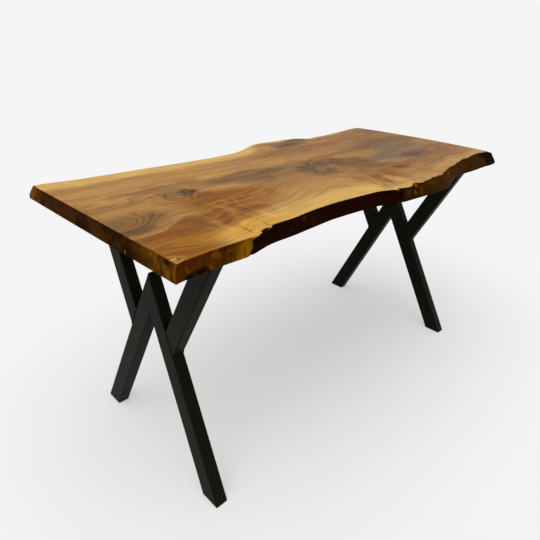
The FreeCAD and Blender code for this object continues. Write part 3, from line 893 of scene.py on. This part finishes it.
def live_edge_material(colours):
    """Walnut just under the bark, brushed clean and varnished: near black, gold where it was shaved, with
    painted light on the knee's lobes and painted shade in its clefts.
    """
    material, tree, shader = new_material("brushed_walnut_live_edge")
    field = WoodField(tree)
    flakes = field.stretched(26, 12, 12, detail=4.0)
    strands = field.stretched(7, 40, 40)
    mottle = field.stretched(18, 30, 22)
    right = reckon((field.x, -20 * MM, 160 * MM))
    dark = reckon((field.x, 450 * MM, 600 * MM, 0.0, 0.4), (field.x, 655 * MM, 685 * MM), how="MAXIMUM")
    bark = painted(colours.bark_side, (
        (right, colours.bark_olive),
        (reckon((flakes, 0.42, 0.62, 0.0, 0.7), (right, 0.0, 1.0, 1.0, 0.6)), colours.bark_shade),
        (dark, colours.bark_shade),
        (reckon((mottle, 0.60, 0.72), 0.45), colours.bark_rust_and_lobe_light),
        # Painted light on the knee's lobes, then painted shade in the clefts between them
        (spots(field.calm, PAINTED_LOBE_LIGHT, 0.9), colours.bark_rust_and_lobe_light),
        (spots(field.calm, PAINTED_CLEFT_SHADE, 0.9), colours.bark_shade),
    ))
    gold = painted(colours.bark_brown, (
        (reckon((field.x, -600 * MM, -560 * MM)), colours.bark_gold),
        (reckon((strands, 0.40, 0.62, 0.0, 0.45)), colours.bark_shade),
        (reckon((mottle, 0.52, 0.70, 0.0, 0.35)), colours.bark_gold),
    ))
    hollow = painted(colours.bark_shade, [
        (reckon((mottle, 0.35, 0.75, 0.0, 0.5)), colours.bark_olive),
    ])
    recess = reckon(field.x, (field.z, *NOTCH_DRAW), how="ADD")
    behind = reckon((field.y, 50 * MM, 120 * MM), 0.8)
    bare = reckon((recess, *NOTCH_EDGE), behind, spots(field.calm, GOLD_SPOTS, 0.5), how="MAXIMUM")
    tone = painted(bark, ((bare, gold), (spots(field.calm, HOLLOW_SPOTS, 0.25), hollow)))
    finish_shader(shader, tone, 0.5, (flakes, 0.5, 0.6 * MM), gloss=DULL_GLOSS)
    return material


# Knots in the sawn left end, along x, y and z in mm, then two pale scars
END_KNOTS = [
    (-755, -160, 712, 60, 26, 24, 1.0), (-755, -172, 735, 60, 10, 20, 0.6),
    (-755, -311, 743, 60, 12, 10, 1.0), (-755, -290, 722, 60, 5, 14, 0.6),
    (-755, 40, 724, 60, 34, 40, 0.7),
]
END_SCARS = [
    (-755, -158, 713, 60, 3, 7, 0.8), (-755, -257, 742, 60, 3, 3, 0.8),
]


def end_grain_material(colours):
    """Sawn end of the slab, sanded and varnished: open end grain drinks the varnish and turns dark."""
    material, tree, shader = new_material("varnished_walnut_end_grain")
    field = WoodField(tree)
    streaks = field.stretched(60, 13, 45)
    mottle = field.stretched(60, 42, 34)
    patchy = field.stretched(60, 15, 30)
    bands = [(reach, width, 0.15 * width)
             for reach, width in ((field.front, 130 * MM), (field.back, 55 * MM))]
    sapwood = reckon(*bands, how="MAXIMUM")
    tone = painted(colours.end_grain, (
        (reckon((mottle, 0.36, 0.62)), colours.end_shade),
        (reckon(sapwood, (patchy, 0.34, 0.60, 0.15, 1.0)), colours.end_gold),
        (spots(field.calm, END_KNOTS, 0.5), colours.end_shade),
        (spots(field.point, END_SCARS, 0.6), colours.end_scar),
        (reckon((streaks, 0.42, 0.66, 0.0, 0.16)), colours.end_streak, "MULTIPLY"),
    ))
    grit = add_node(tree, "TexNoise", {"Vector": field.point, "Scale": 1 / (1.4 * MM), "Detail": 1.0})
    finish_shader(shader, tone, 0.5, (grit, 0.2, 0.2 * MM), gloss=DULL_GLOSS)
    return material


# Weld beads and bolts


def strut_axis(node):
    """Unit vector up along a strut, from the largest of its slanting faces."""
    slanting = [face for face in NODES[node].data.polygons if HARDLY < abs(face.normal.z) < OBLIQUE]
    broad = max(slanting, key=lambda face: face.area)
    axis = broad.normal.cross(Vector((1, 0, 0)))
    return axis.normalized() * math.copysign(1, axis.z)


def weld_beads(node, name, sizes):
    """Beads along the outer rims of both cut ends of a strut."""
    strut = node_copy(node, name)
    axis = strut_axis(node)
    low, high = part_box(node)
    middle = (low + high) / 2

    def is_outer_rim(edge):
        if len(edge.link_faces) != 2:
            return False
        side, cut = sorted(edge.link_faces, key=lambda face: abs(face.normal.dot(axis)))
        away = (edge.verts[0].co + edge.verts[1].co) / 2 - middle
        away -= axis * away.dot(axis)
        on_rim = abs(side.normal.dot(axis)) < HARDLY and abs(cut.normal.dot(axis)) > HALFWAY
        return on_rim and side.normal.dot(away) > 0

    with edit_mode(strut):
        if not pick(strut, "edges", is_outer_rim):
            raise RuntimeError(f"{node} has no rim to weld")
        bpy.ops.mesh.select_all(action="INVERT")
        bpy.ops.mesh.delete(type="EDGE_FACE")
        bpy.ops.mesh.select_all(action="SELECT")
        bpy.ops.mesh.delete_loose(use_verts=True, use_edges=False, use_faces=False)
    bpy.ops.object.convert(target="CURVE")
    strut.data.bevel_depth = sizes.weld
    strut.data.bevel_resolution = 3
    bpy.ops.object.convert(target="MESH")
    bead = bpy.context.object
    with edit_mode(bead):
        bpy.ops.mesh.normals_make_consistent(inside=False)
    bpy.ops.object.shade_smooth()
    return bead


def hexagon_bolt(sizes, low, high):
    """Hexagon bolt on the vertical axis: a chamfered head below and a shank above it."""
    work_on()
    corner = sizes.head_width / 2 / math.cos(math.pi / 6)
    bpy.ops.mesh.primitive_cylinder_add(vertices=6, radius=corner, depth=sizes.head_height,
                                        location=(0, 0, low + sizes.head_height / 2))
    bolt = bpy.context.object
    bpy.ops.object.transform_apply(location=True, rotation=False, scale=False)
    shank = high - low - sizes.head_height
    with edit_mode(bolt):
        pick(bolt, "edges", lambda edge: max(vertex.co.z for vertex in edge.verts) < low + 0.1 * MM)
        bpy.ops.mesh.bevel(offset=sizes.head_chamfer, segments=3, affect="EDGES")
        bpy.ops.mesh.select_all(action="DESELECT")
        bpy.ops.mesh.primitive_cylinder_add(vertices=32, radius=sizes.shank / 2, depth=shank,
                                            location=(0, 0, high - shank / 2))
    bpy.ops.object.shade_smooth_by_angle(angle=math.radians(30))
    return bolt


def copy_at(piece, x, y):
    """Copy of a piece with its own mesh, moved along the floor."""
    copy = loose_copy(piece.name, piece.data)
    work_on(copy)
    bpy.ops.transform.translate(value=(x, y, 0))
    bpy.ops.object.transform_apply(location=True, rotation=False, scale=False)
    return copy


# Finishes of the metal and plastic pieces


def powder_coat(colours):
    """Satin black powder coat on mild steel: baked on, with a faint orange peel of about a millimetre."""
    material, tree, shader = new_material("satin_black_powder_coat")
    point = add_node(tree, "TexCoord").node.outputs["Object"]
    cloud = add_node(tree, "TexNoise", {"Vector": point, "Scale": 1 / (110 * MM), "Detail": 3.0})
    tone = painted(colours.powder, [(reckon((cloud, 0.3, 0.7)), colours.powder_cloud)])
    peel = add_node(tree, "TexNoise", {"Vector": point, "Scale": 1 / (1.1 * MM), "Detail": 1.0})
    rough = reckon((peel, 0.3, 0.7, 0.42, 0.54))
    finish_shader(shader, tone, rough, (peel, 0.25, 0.12 * MM), gloss=0.04)
    return material


def worked_metal(name, plain, grain, rough):
    """Turned or pressed metal with fine tool marks."""
    material, tree, shader = new_material(name)
    point = add_node(tree, "TexCoord").node.outputs["Object"]
    marks = add_node(tree, "TexNoise", {"Vector": point, "Scale": 1 / grain, "Detail": 3.0})
    worn = (*(0.8 * part for part in plain[:3]), 1.0)
    tone = painted(plain, [(reckon((marks, 0.3, 0.7)), worn)])
    rough = reckon((marks, 0.3, 0.7, rough, rough + 0.12))
    finish_shader(shader, tone, rough, (marks, 0.2, 0.1 * MM), metallic=1.0)
    return material


def plug_plastic(colours):
    """Moulded polyethylene: matte, with a fine spark-eroded grain."""
    material, tree, shader = new_material("moulded_polyethylene")
    point = add_node(tree, "TexCoord").node.outputs["Object"]
    grain = add_node(tree, "TexNoise", {"Vector": point, "Scale": 1 / (0.8 * MM), "Detail": 1.0})
    tone = painted(colours.plug, [(grain, colours.plug_grain)])
    finish_shader(shader, tone, 0.65, (grain, 0.3, 0.1 * MM))
    return material


# Operators


class TABLE_OT_slab(bpy.types.Operator):
    """Live-edge walnut slab with its carved bark sides and sanded arrises"""
    bl_idname = "dining_table.slab"
    bl_label = "Walnut slab"

    def execute(self, context):
        sizes = context.scene.slab_sizes
        colours = context.scene.wood_colours
        slab = rough_slab()
        soften_sides(slab)
        carve_live_edges(slab, sizes)
        make_strokes(slab)
        arrises = {side: arris_line(slab, sign) for side, sign in OUTWARD.items()}
        round_arrises(slab, sizes)
        drill_insert_holes(slab, context.scene.frame_sizes)
        work_on(slab)
        bpy.ops.object.shade_smooth_by_angle(angle=CREASE)
        apply_modifier(slab, "WEIGHTED_NORMAL", keep_sharp=True, weight=90)
        measure_reach(slab, arrises)
        dress(slab, face_material(sizes, colours), live_edge_material(colours), end_grain_material(colours))
        sort_faces(slab)
        slab.vertex_groups.clear()
        finish_piece(slab, "walnut", "tabletop_slab")
        return {"FINISHED"}


class TABLE_OT_leg_frames(bpy.types.Operator):
    """Powder coat on the legs, struts and mounting plates"""
    bl_idname = "dining_table.leg_frames"
    bl_label = "Leg frames"

    def execute(self, context):
        coat = powder_coat(context.scene.steel_colours)
        for side in SIDES:
            dress(NODES[f"{side}_mounting_plate"], coat)
            for half in HALVES:
                dress(NODES[f"{side}_{half}_leg"], coat)
                strut = f"{side}_{half}_strut"
                dress(NODES[strut], coat)
                bead = weld_beads(strut, f"{strut}_welds", context.scene.frame_sizes)
                dress(bead, coat)
                finish_piece(bead, "black_steel")
        return {"FINISHED"}


class TABLE_OT_fasteners(bpy.types.Operator):
    """Finishes of the bolts, washers and threaded inserts"""
    bl_idname = "dining_table.fasteners"
    bl_label = "Fasteners"

    def execute(self, context):
        colours = context.scene.steel_colours
        sizes = context.scene.frame_sizes
        zinc = worked_metal("zinc_plated_steel", colours.zinc, 2.0 * MM, 0.30)
        brass = worked_metal("turned_brass", colours.brass, 2.5 * MM, 0.28)
        for side in SIDES:
            dress(NODES[f"{side}_washers"], zinc)
            dress(NODES[f"{side}_threaded_inserts"], brass)
            low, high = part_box(f"{side}_bolts")
            bolt = hexagon_bolt(sizes, low.z, high.z)
            bolts = joined([copy_at(bolt, x, y) for x, y in fastener_places(side, sizes.washer)])
            discard(bolt)
            bolts.name = f"{side}_hexagon_bolts"
            dress(bolts, zinc)
            finish_piece(bolts, "zinc_steel", f"{side}_bolts")
        return {"FINISHED"}


class TABLE_OT_foot_plugs(bpy.types.Operator):
    """Finish of the plugs in the feet"""
    bl_idname = "dining_table.foot_plugs"
    bl_label = "Foot plugs"

    def execute(self, context):
        plastic = plug_plastic(context.scene.steel_colours)
        for side in SIDES:
            for half in HALVES:
                dress(NODES[f"{side}_{half}_foot_plug"], plastic)
        return {"FINISHED"}


class TABLE_OT_stage(bpy.types.Operator):
    """Pale floor and background, plain light and the photograph's camera"""
    bl_idname = "dining_table.stage"
    bl_label = "Stage"

    def execute(self, context):
        settings = context.scene.stage_settings
        lay_floor(settings)
        light_world(context.scene, settings)
        hang_lamp(settings)
        set_camera(context.scene)
        context.scene.view_settings.view_transform = "Standard"
        return {"FINISHED"}


def seen_rays(tree):
    """Share that is 1 for rays by which the picture, metal or glass shows a surface."""
    rays = add_node(tree, "LightPath").node.outputs
    kinds = [rays[f"Is {kind} Ray"] for kind in ("Camera", "Glossy", "Transmission")]
    return reckon(*kinds, how="MAXIMUM")


def lay_floor(settings):
    """Level floor that takes the table's shadow; part of its brightness is the backdrop's own."""
    work_on()
    bpy.ops.mesh.primitive_plane_add(size=settings.reach)
    floor = bpy.context.object
    floor.name = "floor"
    material, tree, shader = new_material("matt_white_floor")
    feed(shader, {
        "Base Color": (*((1 - settings.glow) * part for part in settings.backdrop[:3]), 1),
        "Roughness": 1.0,
        "Specular IOR Level": 0.0,
        "Emission Color": settings.backdrop,
        "Emission Strength": reckon(seen_rays(tree), settings.glow),
    })
    dress(floor, material)


def light_world(scene, settings):
    """Even light from all round, and a background of the floor's colour."""
    world = bpy.data.worlds.new("studio")
    scene.world = world
    world.use_nodes = True
    tree = world.node_tree
    tree.nodes.clear()
    light = add_node(tree, "Background", {"Color": colour("FFFFFF"), "Strength": settings.dome})
    backdrop = add_node(tree, "Background", {"Color": settings.backdrop, "Strength": 1.0})
    mixed = add_node(tree, "MixShader", (seen_rays(tree), light, backdrop))
    add_node(tree, "OutputWorld", {"Surface": mixed})


def hang_lamp(settings):
    """Wide distant lamp that brings the light on a level surface up to a plain white."""
    lamp = bpy.data.lights.new("lamp", "SUN")
    lamp.energy = math.pi * (1 - settings.dome) / math.cos(settings.lamp_drop)
    lamp.angle = settings.lamp_spread
    holder = bpy.data.objects.new("lamp", lamp)
    holder.rotation_euler = (settings.lamp_drop, 0, settings.lamp_turn + math.pi / 2)
    bpy.context.scene.collection.objects.link(holder)


def set_camera(scene):
    """Camera at the photograph's viewpoint."""
    camera = bpy.data.cameras.new("camera")
    camera.sensor_width = SENSOR_WIDTH
    camera.lens = SENSOR_WIDTH * FOCAL_PIXELS / PHOTO_SIDE
    camera.shift_x = 0.5 - CENTRE_PIXELS[0] / PHOTO_SIDE
    camera.shift_y = CENTRE_PIXELS[1] / PHOTO_SIDE - 0.5
    holder = bpy.data.objects.new("camera", camera)
    axes = Matrix((CAMERA_RIGHT, -Vector(CAMERA_DOWN), -Vector(CAMERA_AHEAD))).transposed()
    holder.matrix_world = Matrix.Translation(CAMERA_PLACE) @ axes.to_4x4()
    scene.collection.objects.link(holder)
    scene.camera = holder


GROUPS = {
    "slab_sizes": SlabSizes,
    "wood_colours": WoodColours,
    "steel_colours": SteelColours,
    "frame_sizes": FrameSizes,
    "stage_settings": StageSettings,
}
OPERATORS = (TABLE_OT_slab, TABLE_OT_leg_frames, TABLE_OT_fasteners, TABLE_OT_foot_plugs, TABLE_OT_stage)


class TABLE_PT_panel(bpy.types.Panel):
    """Buttons that dress the table"""
    bl_idname = "TABLE_PT_panel"
    bl_label = "Dining table"
    bl_space_type = "VIEW_3D"
    bl_region_type = "UI"
    bl_category = "Table"

    def draw(self, context):
        for group, kind in GROUPS.items():
            box = self.layout.box()
            for name in kind.__annotations__:
                box.prop(getattr(context.scene, group), name)
        for operator in OPERATORS:
            self.layout.operator(operator.bl_idname)


def register():
    """Registers the classes and hangs the settings on the scene."""
    for entry in (*GROUPS.values(), *OPERATORS, TABLE_PT_panel):
        bpy.utils.register_class(entry)
    for name, group in GROUPS.items():
        setattr(bpy.types.Scene, name, bpy.props.PointerProperty(type=group))


def unregister():
    """Takes the settings and the classes away again."""
    for name in GROUPS:
        delattr(bpy.types.Scene, name)
    for entry in (TABLE_PT_panel, *reversed(OPERATORS), *reversed(GROUPS.values())):
        bpy.utils.unregister_class(entry)


def main():
    """Dresses the table."""
    register()
    bpy.ops.dining_table.slab()
    bpy.ops.dining_table.leg_frames()
    bpy.ops.dining_table.fasteners()
    bpy.ops.dining_table.foot_plugs()
    bpy.ops.dining_table.stage()


if __name__ == "__main__":
    main()
